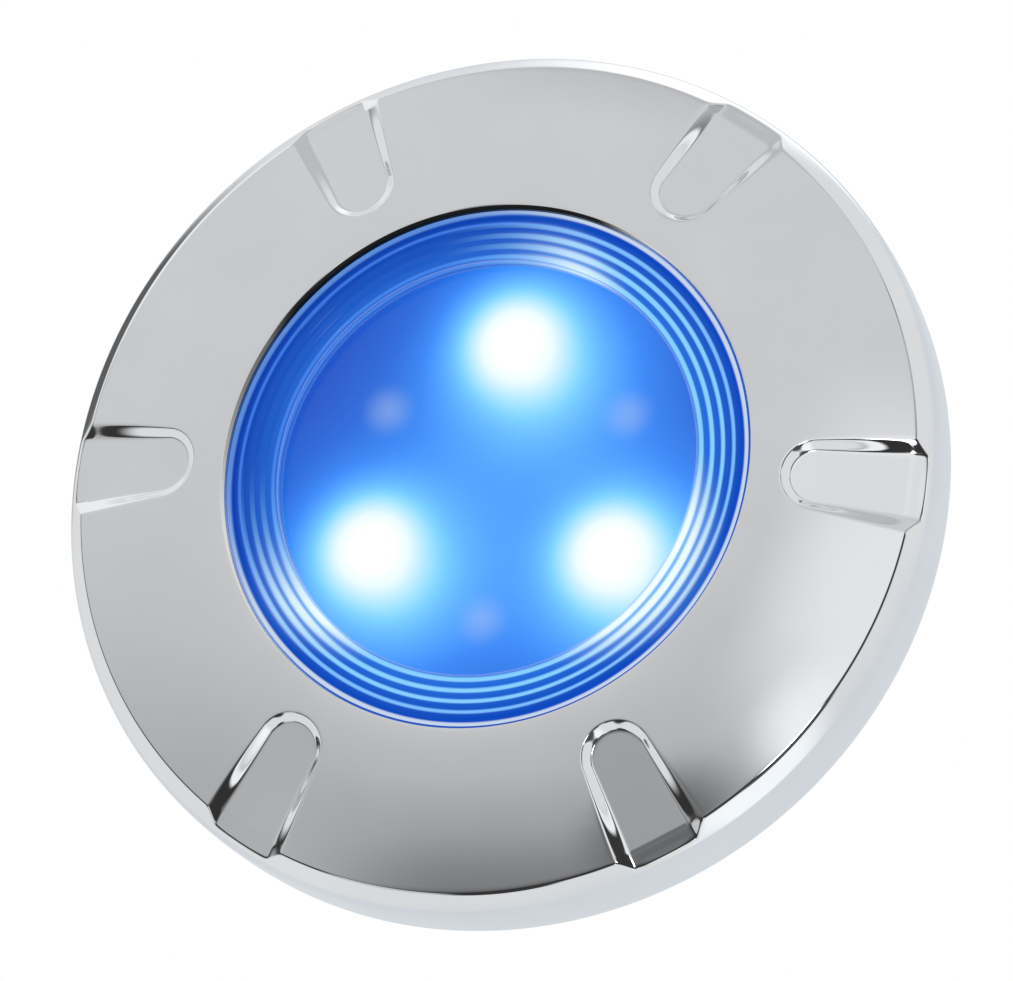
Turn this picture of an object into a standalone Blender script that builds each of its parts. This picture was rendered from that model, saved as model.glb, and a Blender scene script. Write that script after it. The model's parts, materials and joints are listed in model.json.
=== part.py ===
"""Underwater pool light: a slim LED light that bayonets onto a threaded adapter in the pool wall.

The light's axis is the world Y axis. The wall plane is y = 0, and the front faces -Y into the water.
Every turned shape is given as (radius, height) points in millimetres: the radius is measured from
the light's axis and the height is measured out of the wall, so it is -y in the world.
"""

import math

import bmesh
import bpy
from mathutils import Vector

MM = 0.001  # metres in a millimetre

# Driving dimensions, in millimetres.
FACE_R = 62.5  # radius of the crisp edge where the ring's face meets its bevel
EDGE_H = 12.1  # height of that edge above the wall
HOLE_R = 0.633 * FACE_R  # crest of the ring around the lens
CREST_RISE = 0.087 * FACE_R  # the crest stands this far above the edge
DOME_POWER = 1.477  # how quickly the face falls away from the crest
FACE_WALL = 2.0  # thickness of the ring's face and skirt
SKIRT_R = 1.039 * FACE_R  # widest radius of the skirt
SHOULDER_H = EDGE_H - 0.041 * FACE_R
SKIRT_FOOT_H = 0.54

RECESSES = 6  # finger grips round the face
RECESS_ROUND_R = 0.083 * FACE_R  # radius of a grip's rounded inner end
RECESS_ROUND_AT = 0.788 * FACE_R
RECESS_SPREAD = math.atan(0.133)  # each side opens outwards by this angle
RECESS_LIP_R = 1.0245 * FACE_R
RECESS_LIP_H = EDGE_H - 0.0267 * FACE_R
RECESS_WALL = 0.018 * FACE_R  # width of a grip's drafted wall at its inner end; twice that at the lip

LENS_TOP_H = 16.5
LENS_BOSS_R = 38.7
LENS_FLANGE_R = 42.6
LENS_FLANGE_H = (10.9, 12.5)
LENS_UNDERSIDE_H = 13.2

POD_WALL_R = (43.0, 46.3)
POD_RIM_H = 12.5
POD_FLOOR_H = (2.6, 3.6)
POD_BORE_R = 40.2
LEDGE_H = 9.0
FLANGE_R = 61.4
FLANGE_H = (1.4, 3.0)

CAN_R = (15.4, 17.8)  # the rear can that holds the driver
CAN_END_H = -25.0

ADAPTER_FLANGE_R = 30.0
ADAPTER_FLANGE_H = 2.2
THREAD_R = 23.9  # 1 1/2 inch wall fitting
ADAPTER_BORE_R = 20.6
ADAPTER_END_H = -30.0

BAYONET_LUGS = 3
LIGHT_LUG_ARC = 34.0
RING_LUG_ARC = 26.0
RING_LUG_START = 30.0

RETAINER_SCREWS = 6
RETAINER_SCREW_AT = 44.65
BOARD_SCREWS = 3
BOARD_SCREW_AT = 35.5
LED_AT = 20.8
LEDS = 3  # of each kind

CABLE_R = 3.6  # bore for the supply cable, which is not part of the light
GLAND_THREAD_R = 6.0
HEX_ACROSS_CORNERS_R = 9.0


def point(radius, degrees, height):
    """A place on the light in metres, from its radius and angle about the axis and its height."""
    turn = math.radians(degrees)
    return Vector((radius * math.cos(turn), -height, radius * math.sin(turn))) * MM


def material(name, colour, roughness, metallic=0.0):
    """A plain Principled material, made once for each name."""
    made = bpy.data.materials.get(name)
    if made:
        return made
    made = bpy.data.materials.new(name)
    made.use_nodes = True
    shader = made.node_tree.nodes["Principled BSDF"]
    shader.inputs["Base Color"].default_value = (*colour, 1.0)
    shader.inputs["Roughness"].default_value = roughness
    shader.inputs["Metallic"].default_value = metallic
    return made


def add_object(name, bm, finish, parent=None):
    """Turns a bmesh into an object with outward faces, smooth shading and one material."""
    bm.normal_update()
    bmesh.ops.recalc_face_normals(bm, faces=bm.faces)
    mesh = bpy.data.meshes.new(name)
    bm.to_mesh(mesh)
    bm.free()
    mesh.shade_smooth()
    mesh.set_sharp_from_angle(angle=math.radians(30))
    obj = bpy.data.objects.new(name, mesh)
    bpy.context.scene.collection.objects.link(obj)
    if finish:
        mesh.materials.append(finish)
    if parent:
        obj.parent = parent
    return obj


def hex_radius(corner_radius, degrees):
    """Radius of a hexagon's edge at an angle, with a corner at 30 degrees."""
    off_flat = (degrees + 30.0) % 60.0 - 30.0
    return corner_radius * math.cos(math.radians(30)) / math.cos(math.radians(off_flat))


def add_turned(bm, profile, segments, centre=(0.0, 0.0), hexagonal=()):
    """Adds a body turned about the axis, or about a parallel axis through centre (x, z) in mm.

    A profile that begins and ends at radius 0 is solid; any other profile is a closed ring section.
    Points whose index is in hexagonal follow a hexagon instead of a circle.
    """
    step = 360.0 / segments
    offset = Vector((centre[0], 0.0, centre[1])) * MM
    loops = []
    for index, (radius, height) in enumerate(profile):
        if radius == 0:
            loops.append([bm.verts.new(point(0, 0, height) + offset)])
            continue
        angles = [i * step for i in range(segments)]
        radii = [hex_radius(radius, a) if index in hexagonal else radius for a in angles]
        loops.append([bm.verts.new(point(r, a, height) + offset) for r, a in zip(radii, angles)])
    pairs = list(zip(loops, loops[1:]))
    if profile[0][0] != 0:
        pairs.append((loops[-1], loops[0]))
    for lower, upper in pairs:
        for i in range(segments):
            j = (i + 1) % segments
            corners = [lower[i % len(lower)], lower[j % len(lower)]]
            corners += [upper[j % len(upper)], upper[i % len(upper)]]
            bm.faces.new(dict.fromkeys(corners))


def turned(name, profile, segments, finish, parent=None, hexagonal=()):
    """One object turned about the light's axis."""
    bm = bmesh.new()
    add_turned(bm, profile, segments, hexagonal=hexagonal)
    return add_object(name, bm, finish, parent)


def add_arc(bm, radii, heights, middle, arc, steps=5):
    """Adds a curved block between two radii and two heights, centred on the angle middle."""
    section = [(radii[0], heights[0]), (radii[1], heights[0]), (radii[1], heights[1]), (radii[0], heights[1])]
    rows = []
    for i in range(steps + 1):
        angle = middle - arc / 2 + arc * i / steps
        rows.append([bm.verts.new(point(r, angle, h)) for r, h in section])
    for near, far in zip(rows, rows[1:]):
        for k in range(4):
            bm.faces.new((near[k], near[(k + 1) % 4], far[(k + 1) % 4], far[k]))
    bm.faces.new(rows[0])
    bm.faces.new(rows[-1])


def spread(count, start=0.0):
    """Angles of count equal places round the axis."""
    return [start + 360.0 * i / count for i in range(count)]


def helper(name, bm):
    """A cutter or an added lug: it shapes another object and is not a part itself."""
    obj = add_object(name, bm, None)
    obj.hide_render = True
    obj.display_type = "WIRE"
    return obj


def combine(obj, other, operation):
    """Adds an exact Boolean of other to obj."""
    step = obj.modifiers.new(other.name, "BOOLEAN")
    step.operation = operation
    step.solver = "EXACT"
    step.object = other


def add_lugs(bm, radii, heights, arc, start):
    """Adds the bayonet lugs that are joined to a part."""
    for angle in spread(BAYONET_LUGS, start):
        add_arc(bm, radii, heights, angle, arc)


def add_pegs(bm, radii, heights, at, angles, segments=12):
    """Adds round or conical cutters parallel to the axis, one at each angle; radii go with heights."""
    for angle in angles:
        centre = (at * math.cos(math.radians(angle)), at * math.sin(math.radians(angle)))
        profile = [(0, heights[0]), (radii[0], heights[0]), (radii[1], heights[1]), (0, heights[1])]
        add_turned(bm, profile, segments, centre)


def pegs(name, radii, heights, at, angles, segments=12):
    """One set of cutters as a helper object."""
    bm = bmesh.new()
    add_pegs(bm, radii, heights, at, angles, segments)
    return helper(name, bm)


def lugs(name, radii, heights, arc, start):
    """One set of lugs as a helper object."""
    bm = bmesh.new()
    add_lugs(bm, radii, heights, arc, start)
    return helper(name, bm)


def block(name, low, high, finish, parent):
    """A box with low and high corners in mm, given as (x, height, z)."""
    bm = bmesh.new()
    bmesh.ops.create_cube(bm, size=1.0)
    for vert in bm.verts:
        x, height, z = (lo if c < 0 else hi for c, lo, hi in zip(vert.co, low, high))
        vert.co = Vector((x, -height, z)) * MM
    return add_object(name, bm, finish, parent)


# The face ring.


def face_height(radius):
    """Height of the ring's domed face at a radius."""
    fall = CREST_RISE / (1 - HOLE_R / FACE_R) ** DOME_POWER
    return EDGE_H + CREST_RISE - fall * ((radius - HOLE_R) / FACE_R) ** DOME_POWER


def ring_profile():
    """Section of the face ring: domed face, bevel, skirt, and the collar that carries its lugs."""
    hole_wall = [(39.06, 14.6), (39.06, 16.41), (HOLE_R, EDGE_H + CREST_RISE)]
    steps = 7
    face = [HOLE_R + (FACE_R - HOLE_R) * i / steps for i in range(1, steps + 1)]
    skirt = [(1.0375 * FACE_R, SHOULDER_H), (SKIRT_R, 7.0), (1.03 * FACE_R, SKIRT_FOOT_H)]
    inside = [(62.3, SKIRT_FOOT_H), (62.6, 8.6), (60.6, 10.4), (56.0, face_height(56.0) - FACE_WALL)]
    collar = [(51.4, 13.4), (51.4, 3.4), (49.4, 3.4), (49.4, 13.9), (47.0, 14.5)]
    return hole_wall + [(r, face_height(r)) for r in face] + skirt + inside + collar


def recess_outline(walls, reach):
    """Plan of a grip recess as (along, across) from the axis, inset by a number of wall widths."""
    radius = RECESS_ROUND_R - walls * RECESS_WALL
    turns = 8
    sweep = math.pi - 2 * RECESS_SPREAD
    points = []
    for i in range(turns + 1):
        angle = math.pi - sweep / 2 + sweep * i / turns
        points.append((RECESS_ROUND_AT + radius * math.cos(angle), radius * math.sin(angle)))
    length = (reach - points[0][0]) / math.cos(RECESS_SPREAD)
    growth = (reach - RECESS_ROUND_AT) / (RECESS_LIP_R - RECESS_ROUND_AT)
    half = points[0][1] + length * math.sin(RECESS_SPREAD) - walls * RECESS_WALL * growth
    return [(reach, half)] + points + [(reach, -half)]


def floor_height(along):
    """Height of a recess floor at a distance from the axis: a long slope, then a steeper one to the lip."""
    inner, bend = 0.705 * FACE_R, 0.985 * FACE_R
    inner_h = face_height(inner) - 0.012 * FACE_R
    bend_h = face_height(bend) - 0.0145 * FACE_R
    if along < bend:
        return inner_h + (bend_h - inner_h) * (along - inner) / (bend - inner)
    return bend_h + (RECESS_LIP_H - bend_h) * (along - bend) / (RECESS_LIP_R - bend)


def add_recess(bm, angle):
    """Adds one drafted, U-shaped cutter whose floor slopes down towards the edge of the ring."""
    reach = 1.08 * FACE_R
    lift = 3.0  # the cutter's walls go on past the face at the same draft
    depth = 0.013 * FACE_R
    top = recess_outline(-lift, reach)
    floor = recess_outline(1.0, reach)
    rows = []
    for (u, v), raised in [(p, False) for p in floor] + [(p, True) for p in top]:
        height = floor_height(u) + (depth * (1 + lift) if raised else 0.0)
        radius = math.hypot(u, v)
        rows.append(bm.verts.new(point(radius, angle + math.degrees(math.atan2(v, u)), height)))
    count = len(floor)
    for i in range(count):
        j = (i + 1) % count
        bm.faces.new((rows[i], rows[j], rows[count + j], rows[count + i]))
    for side in (rows[:count], rows[count:]):
        for i in range(1, count // 2):
            corners = [side[i - 1], side[i], side[count - 1 - i], side[count - i]]
            bm.faces.new(corners)
        middle = count // 2
        bm.faces.new((side[middle - 1], side[middle], side[middle + 1]))


def make_face_ring(parent):
    chrome = material("chrome_face", (0.78, 0.79, 0.81), 0.08, 1.0)
    ring = turned("face_ring", ring_profile(), 64, chrome, parent)
    hooks = lugs("face_ring_lugs", (46.7, 49.7), (3.8, 5.6), RING_LUG_ARC, RING_LUG_START)
    combine(ring, hooks, "UNION")
    bm = bmesh.new()
    for angle in spread(RECESSES):
        add_recess(bm, angle)
    combine(ring, helper("face_ring_recesses", bm), "DIFFERENCE")


# The lens and what clamps it.


def make_lens(parent):
    clear = material("lens_clear", (0.25, 0.45, 0.9), 0.05)
    profile = [(0, LENS_TOP_H), (LENS_BOSS_R - 0.4, LENS_TOP_H), (LENS_BOSS_R, LENS_TOP_H - 0.4)]
    profile += [(LENS_BOSS_R, LENS_FLANGE_H[1]), (LENS_FLANGE_R, LENS_FLANGE_H[1])]
    profile += [(LENS_FLANGE_R, LENS_FLANGE_H[0]), (37.5, LENS_FLANGE_H[0])]
    profile += [(37.5, LENS_UNDERSIDE_H), (0, LENS_UNDERSIDE_H)]
    turned("lens", profile, 48, clear, parent)


def make_lens_seal(parent):
    rubber = material("seal_rubber", (0.03, 0.03, 0.035), 0.7)
    section = [(41.6 + 0.95 * math.cos(a), 9.95 + 0.62 * math.sin(a))
               for a in (math.tau * i / 6 for i in range(6))]
    turned("lens_seal", section, 32, rubber, parent)


def make_lens_retainer(parent):
    plastic = material("body_plastic", (0.72, 0.73, 0.74), 0.45)
    profile = [(39.1, 12.8), (47.0, 12.8), (47.0, 14.1), (39.1, 14.1)]
    retainer = turned("lens_retainer", profile, 48, plastic, parent)
    angles = spread(RETAINER_SCREWS)
    combine(retainer, pegs("retainer_sinks", (1.1, 2.4), (12.7, 14.2), RETAINER_SCREW_AT, angles), "DIFFERENCE")
    steel = material("screw_steel", (0.62, 0.62, 0.6), 0.3, 1.0)
    profile = [(0, -0.6), (0.7, -0.6), (0.7, -0.1), (1.9, -0.1), (0.8, -1.3), (0.8, -6.4), (0, -6.4)]
    for number, angle in enumerate(angles, 1):
        screw = turned(f"retainer_screw_{number}", profile, 12, steel, parent)
        screw.location = point(RETAINER_SCREW_AT, angle, 14.1)


# The pod that everything is built into.


def make_housing(parent):
    plastic = material("body_plastic", (0.72, 0.73, 0.74), 0.45)
    profile = [(CAN_R[1], CAN_END_H), (CAN_R[1], POD_FLOOR_H[0])]
    profile += [(ADAPTER_FLANGE_R + 0.6, POD_FLOOR_H[0]), (ADAPTER_FLANGE_R + 0.6, FLANGE_H[0])]
    profile += [(FLANGE_R, FLANGE_H[0]), (FLANGE_R, FLANGE_H[1]), (POD_WALL_R[1], FLANGE_H[1])]
    profile += [(POD_WALL_R[1], POD_RIM_H), (POD_WALL_R[0], POD_RIM_H), (POD_WALL_R[0], LEDGE_H)]
    profile += [(POD_BORE_R, LEDGE_H), (POD_BORE_R, POD_FLOOR_H[1]), (CAN_R[0], POD_FLOOR_H[1])]
    profile += [(CAN_R[0], CAN_END_H)]
    housing = turned("housing", profile, 48, plastic, parent)
    bm = bmesh.new()
    add_lugs(bm, (46.0, 49.0), (5.9, 7.5), RING_LUG_ARC, RING_LUG_START)
    add_lugs(bm, (17.5, 20.2), (-5.2, -3.0), LIGHT_LUG_ARC, 90.0)
    combine(housing, helper("housing_lugs", bm), "UNION")
    bm = bmesh.new()
    add_pegs(bm, (1.15, 1.15), (6.5, 13.0), RETAINER_SCREW_AT, spread(RETAINER_SCREWS))
    add_pegs(bm, (1.7, 1.7), (2.0, 4.2), BOARD_SCREW_AT, spread(BOARD_SCREWS, 60.0))
    add_pegs(bm, (2.5, 2.5), (1.0, 3.4), 56.4, spread(6, 30.0))
    combine(housing, helper("housing_holes", bm), "DIFFERENCE")


def make_rear_cap(parent):
    plastic = material("body_plastic", (0.72, 0.73, 0.74), 0.45)
    rubber = material("seal_rubber", (0.03, 0.03, 0.035), 0.7)
    profile = [(6.3, -29.4), (17.8, -29.4), (17.8, -26.4), (15.0, -26.4), (15.0, -23.4), (6.3, -23.4)]
    turned("rear_cap", profile, 32, plastic, parent)
    turned("cap_seal", [(15.8, -26.1), (17.3, -26.1), (17.3, -25.3), (15.8, -25.3)], 32, rubber, parent)


def make_wall_gasket(parent):
    rubber = material("seal_rubber", (0.03, 0.03, 0.035), 0.7)
    turned("wall_gasket", [(34.0, 0.1), (45.0, 0.1), (45.0, 1.1), (34.0, 1.1)], 48, rubber, parent)


def make_wall_adapter():
    plastic = material("adapter_plastic", (0.8, 0.81, 0.82), 0.4)
    profile = [(ADAPTER_BORE_R, ADAPTER_END_H), (THREAD_R - 1.0, ADAPTER_END_H), (THREAD_R, ADAPTER_END_H + 1.0)]
    profile += [(THREAD_R, 0.0), (ADAPTER_FLANGE_R, 0.0), (ADAPTER_FLANGE_R, ADAPTER_FLANGE_H - 0.4)]
    profile += [(ADAPTER_FLANGE_R - 0.4, ADAPTER_FLANGE_H), (ADAPTER_BORE_R, ADAPTER_FLANGE_H)]
    adapter = turned("wall_adapter", profile, 48, plastic)
    combine(adapter, lugs("adapter_lugs", (18.2, 20.9), (-2.6, -0.2), LIGHT_LUG_ARC, 90.0), "UNION")


# The light source.


def make_heat_spreader(parent):
    aluminium = material("aluminium", (0.75, 0.76, 0.77), 0.35, 1.0)
    spreader = turned("heat_spreader", [(6.5, 3.9), (39.7, 3.9), (39.7, 4.9), (6.5, 4.9)], 32, aluminium, parent)
    holes = pegs("spreader_holes", (1.8, 1.8), (3.0, 5.5), BOARD_SCREW_AT, spread(BOARD_SCREWS, 60.0))
    combine(spreader, holes, "DIFFERENCE")


def make_led_board(parent):
    mask = material("board_mask", (0.85, 0.86, 0.88), 0.5)
    board = turned("led_board", [(0, 5.2), (39.2, 5.2), (39.2, 6.0), (0, 6.0)], 32, mask, parent)
    holes = pegs("board_holes", (1.8, 1.8), (4.6, 6.6), BOARD_SCREW_AT, spread(BOARD_SCREWS, 60.0))
    combine(board, holes, "DIFFERENCE")
    steel = material("screw_steel", (0.62, 0.62, 0.6), 0.3, 1.0)
    profile = [(0, 0.5), (1.1, 0.5), (1.1, 1.0), (2.4, 1.0), (2.7, 0.6), (2.7, 0.0), (1.4, 0.0)]
    profile += [(1.4, -3.9), (0, -3.9)]
    for number, angle in enumerate(spread(BOARD_SCREWS, 60.0), 1):
        screw = turned(f"board_screw_{number}", profile, 12, steel, parent)
        screw.location = point(BOARD_SCREW_AT, angle, 6.3)


def make_leds(parent):
    """Three lit LEDs and three spare-colour LEDs between them, each a package with a domed top."""
    kinds = [("main_led", 90.0, (0.75, 0.9, 1.0)), ("white_led", 30.0, (0.95, 0.9, 0.6))]
    dome = [(2.6 * math.cos(a), 7.0 + 0.9 * math.sin(a)) for a in (math.pi / 8 * i for i in range(4))]
    profile = [(0, 6.3), (3.3, 6.3), (3.3, 7.0), *dome, (0, 7.9)]
    for kind, start, colour in kinds:
        finish = material(kind, colour, 0.2)
        for number, angle in enumerate(spread(LEDS, start), 1):
            led = turned(f"{kind}_{number}", profile, 12, finish, parent)
            led.location = point(LED_AT, angle, 0.0)


def make_reflector_plate(parent):
    white = material("reflector_white", (0.9, 0.91, 0.92), 0.4)
    plate = turned("reflector_plate", [(0, 7.3), (39.4, 7.3), (39.4, 7.9), (0, 7.9)], 32, white, parent)
    bm = bmesh.new()
    add_pegs(bm, (3.4, 3.4), (7.0, 8.2), LED_AT, spread(2 * LEDS, 30.0), 16)
    add_pegs(bm, (3.4, 3.4), (7.0, 8.2), BOARD_SCREW_AT, spread(BOARD_SCREWS, 60.0), 16)
    combine(plate, helper("reflector_windows", bm), "DIFFERENCE")


def make_diffuser(parent):
    opal = material("diffuser_opal", (0.8, 0.88, 0.96), 0.5)
    profile = [(0, 9.1), (39.4, 9.1), (39.4, 8.2), (0, 8.2)]
    turned("diffuser", profile, 32, opal, parent)


def make_driver(parent):
    green = material("driver_mask", (0.05, 0.25, 0.12), 0.5)
    black = material("component_black", (0.03, 0.03, 0.03), 0.45)
    blue = material("capacitor_sleeve", (0.08, 0.12, 0.3), 0.35)
    block("driver_board", (-13.5, -18.5, -0.6), (13.5, 2.0, 0.6), green, parent)
    block("board_connector", (-4.0, 2.3, -2.4), (4.0, 4.9, 2.4), black, parent)
    block("driver_chip", (3.0, -5.5, 0.9), (9.0, 0.5, 2.4), black, parent)
    for name, x, height, radius, length, finish in (
        ("driver_inductor", -6.0, -7.0, 4.4, 7.0, black),
        ("driver_capacitor", 5.5, -12.5, 4.0, 9.0, blue),
    ):
        bm = bmesh.new()
        add_turned(bm, [(0, 0), (radius, 0), (radius, length - 0.6), (radius - 0.6, length), (0, length)], 20)
        part = add_object(name, bm, finish, parent)
        part.rotation_euler = (-math.pi / 2, 0.0, 0.0)
        part.location = Vector((x, -height, 0.9)) * MM


# The cable gland.


def make_gland(parent):
    brass = material("gland_metal", (0.7, 0.7, 0.68), 0.3, 1.0)
    rubber = material("seal_rubber", (0.03, 0.03, 0.035), 0.7)
    corner = HEX_ACROSS_CORNERS_R
    body = [(CABLE_R, -20.0), (GLAND_THREAD_R, -20.0), (GLAND_THREAD_R, -29.7), (corner, -29.7)]
    body += [(corner, -33.2), (6.5, -33.2), (6.5, -38.0), (CABLE_R, -38.0)]
    turned("gland_body", body, 24, brass, parent, hexagonal=(3, 4))
    nut = [(6.8, -33.6), (corner, -33.6), (corner, -39.6), (7.4, -42.5), (3.9, -42.5), (3.9, -41.0), (6.8, -41.0)]
    turned("gland_nut", nut, 24, brass, parent, hexagonal=(1, 2))
    turned("gland_seal", [(3.7, -38.3), (6.4, -38.3), (6.4, -40.7), (3.7, -40.7)], 24, rubber, parent)
    lock = [(6.3, -20.7), (corner, -20.7), (corner, -23.0), (6.3, -23.0)]
    turned("gland_lock_nut", lock, 24, brass, parent, hexagonal=(1, 2))


def axis_empty(name, parent=None):
    """An empty on the light's axis that carries the pieces of one moving body."""
    empty = bpy.data.objects.new(name, None)
    bpy.context.scene.collection.objects.link(empty)
    empty.parent = parent
    return empty


def main():
    for obj in list(bpy.data.objects):
        bpy.data.objects.remove(obj)
    light = axis_empty("light_axis")
    ring = axis_empty("ring_axis", light)
    make_wall_adapter()
    make_housing(light)
    make_wall_gasket(light)
    make_rear_cap(light)
    make_gland(light)
    make_driver(light)
    make_heat_spreader(light)
    make_led_board(light)
    make_leds(light)
    make_reflector_plate(light)
    make_diffuser(light)
    make_lens_seal(light)
    make_lens(light)
    make_lens_retainer(light)
    make_face_ring(ring)


main()
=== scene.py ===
"""Looks for the underwater pool light: a chrome face ring, a ridged lens over lit LEDs, a moulded back.

The light's axis is the frame's Y axis and its front faces -Y. The ring is worked out in its own unit, the
radius of the crisp edge of its face. Its heights are over that edge, out of the wall, which is -Y.
"""

import json
import math

import bmesh
import bpy
from mathutils import Matrix, Vector


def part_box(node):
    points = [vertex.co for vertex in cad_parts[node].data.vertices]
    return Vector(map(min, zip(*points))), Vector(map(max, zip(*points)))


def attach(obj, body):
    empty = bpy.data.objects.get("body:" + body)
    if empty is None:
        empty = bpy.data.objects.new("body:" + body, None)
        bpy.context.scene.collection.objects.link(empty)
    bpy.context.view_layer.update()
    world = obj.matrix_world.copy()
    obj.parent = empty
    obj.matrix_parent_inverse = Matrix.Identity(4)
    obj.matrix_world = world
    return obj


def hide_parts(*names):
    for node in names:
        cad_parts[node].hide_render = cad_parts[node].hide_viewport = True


MM = 0.001  # metres in a millimetre

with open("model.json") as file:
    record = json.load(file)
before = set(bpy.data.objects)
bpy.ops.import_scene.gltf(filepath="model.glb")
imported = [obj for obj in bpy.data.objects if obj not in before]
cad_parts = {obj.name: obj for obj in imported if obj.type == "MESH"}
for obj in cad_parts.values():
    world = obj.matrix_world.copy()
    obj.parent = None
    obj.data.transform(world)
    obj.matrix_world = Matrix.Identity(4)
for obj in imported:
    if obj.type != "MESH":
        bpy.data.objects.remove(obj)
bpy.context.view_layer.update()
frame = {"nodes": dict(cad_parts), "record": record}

SKIRT_R = 1.039
CREST_RISE = 0.087

# The ring's own unit and the height of its face's edge over the wall, in metres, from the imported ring.
ring_low, ring_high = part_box("face_ring")
FACE_R = ring_high.x / SKIRT_R
EDGE_H = -ring_low.y - CREST_RISE * FACE_R

# The ring's face, in its own unit.
HOLE_R = 0.633
DOME_POWER = 1.477
BEVEL_SLOPE = 1.09  # fall of the bevel outside the edge for each step outwards
EDGE_ROUND = 0.006  # size of the rounding between face and bevel
EDGE_OUTSIDE = EDGE_ROUND * 0.7  # the part of it that lies on the bevel
SMALL_STEP = 0.0002  # keeps neighbouring points apart

# The finger grips in the face, in the same unit.
RECESSES = 6
RECESS_ROUND_R = 0.083  # radius of the round end
RECESS_ROUND_AT = 0.788  # its centre's distance from the axis
RECESS_SPREAD = math.atan(0.133)  # lean of each side away from the grip's centre line
RECESS_LIP_R = 1.0245  # where the floor runs out of the bevel
RECESS_WALL = 0.018  # width of the wall round the floor
WALL_SOFTNESS = 0.07  # rounding at the top and foot of the wall, as a share of its width
FLOOR_START, FLOOR_BEND = 0.705, 0.985  # where the floor begins and where it turns steeper
START_DEPTH, BEND_DEPTH = 0.012, 0.0145  # how deep it lies under the face there
ON_FLOOR = 1.6  # wall widths inside the outline at which a place is on the floor
SIDE_STEPS = 44  # steps along one side of a grip
ARC_STEPS = 56  # and round its end


def face_height(rho):
    """Height of the domed face over its edge, in ring units."""
    fall = CREST_RISE / (1 - HOLE_R) ** DOME_POWER
    return CREST_RISE - fall * max(rho - HOLE_R, 0.0) ** DOME_POWER


def bevel_height(rho):
    """Height of the bevel outside the face's edge."""
    return -BEVEL_SLOPE * (rho - 1)


def floor_height(along):
    """Height of a grip's floor: a long slope, then a steeper one to the lip."""
    start_h = face_height(FLOOR_START) - START_DEPTH
    bend_h = face_height(FLOOR_BEND) - BEND_DEPTH
    lip_h = bevel_height(RECESS_LIP_R)
    if along < FLOOR_BEND:
        return start_h + (bend_h - start_h) * (along - FLOOR_START) / (FLOOR_BEND - FLOOR_START)
    return bend_h + (lip_h - bend_h) * (along - FLOOR_BEND) / (RECESS_LIP_R - FLOOR_BEND)


def wall_share(walls):
    """How far down the grip's wall a place is, from 0 on the face to 1 on the floor, with soft corners."""
    def soft(x):
        return WALL_SOFTNESS * math.log1p(math.exp(x / WALL_SOFTNESS))
    return soft(walls) - soft(walls - 1)


def recess_height(u, v, walls):
    """Height of the face or of a grip at a place along and across the grip."""
    share = wall_share(walls)
    return face_height(math.hypot(u, v)) * (1 - share) + floor_height(u) * share


def side_point(walls, along):
    """The side of the grip's outline, inset by some wall widths, at a distance along the grip."""
    radius = RECESS_ROUND_R - walls * RECESS_WALL
    start = (RECESS_ROUND_AT - radius * math.sin(RECESS_SPREAD), radius * math.cos(RECESS_SPREAD))
    growth = (along - start[0]) / (RECESS_LIP_R - start[0])
    across = start[1] + (along - start[0]) * math.tan(RECESS_SPREAD) - walls * RECESS_WALL * growth
    return along, across


def rim_meeting(point_at):
    """Distance along the grip where a curve meets the bevel. point_at(along) gives its (rho, height)."""
    low, high = 0.9, 1.035
    for _ in range(40):
        middle = (low + high) / 2
        rho, height = point_at(middle)
        if height > bevel_height(rho):
            high = middle
        else:
            low = middle
    return low


def polar(u, v, height):
    """(rho, angle, height) of a place along and across a grip."""
    return math.hypot(u, v), math.atan2(v, u), height


# Section from the bevel down to the skirt's foot, then up inside the ring, as (rho, height).
BEVEL_END = (1.0290, -0.0316)
SHOULDER = ((1.0325, -0.0362), (1.0355, -0.0420), (1.0376, -0.0490), (1.0387, -0.0565), (SKIRT_R, -0.0660))
SKIRT = ((SKIRT_R, -0.085), (1.0378, -0.115), (1.0352, -0.150), (1.0325, -0.176), (1.0305, -0.1825))
FOOT = ((1.0275, -0.1847), (1.0010, -0.1847), (0.9985, -0.1820))
UNDERSIDE = ((1.0016, -0.0560), (0.9690, -0.0272), (0.8960, 0.0016), (0.8224, 0.0208), (0.8224, -0.1392))
COLLAR = ((0.7904, -0.1392), (0.7904, 0.0288), (0.7520, 0.0384), (0.6500, 0.0400))
HOLE_WALL = (  # the same for the hole, from the crest to the lens and under it
    (0.6325, 0.0869), (0.6316, 0.0861), (0.6254, 0.0792), (0.6247, 0.0780), (0.6244, 0.0765),
    (0.6244, 0.0400),
)


def rim_profile(rho, angle):
    """The places from a meeting with the bevel outwards, down the skirt and back under the ring."""
    start_rho = rho + EDGE_OUTSIDE
    start_h = bevel_height(start_rho)
    middle_rho = (start_rho + BEVEL_END[0]) / 2
    places = [(start_rho, start_h)]
    if start_rho < BEVEL_END[0]:
        places.append((middle_rho, bevel_height(middle_rho)))
    else:
        places.append((start_rho + SMALL_STEP, start_h - SMALL_STEP))
    places += [(max(r, start_rho + 3 * SMALL_STEP), h) for r, h in (BEVEL_END, *SHOULDER)]
    places += [*SKIRT, *FOOT, *UNDERSIDE, *COLLAR]
    return [(r, angle, h) for r, h in places]


def rounded_meeting(inside, rho, angle, height):
    """A rounding from a point just inside the edge, over the edge, towards the bevel."""
    outside = (rho + EDGE_OUTSIDE, angle, bevel_height(rho + EDGE_OUTSIDE))
    edge = (rho, angle, height)
    places = []
    for share in (0.25, 0.5, 0.75):
        near, mid, far = (1 - share) ** 2, 2 * share * (1 - share), share**2
        places.append(tuple(near * a + mid * b + far * c for a, b, c in zip(inside, edge, outside)))
    return places


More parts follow.
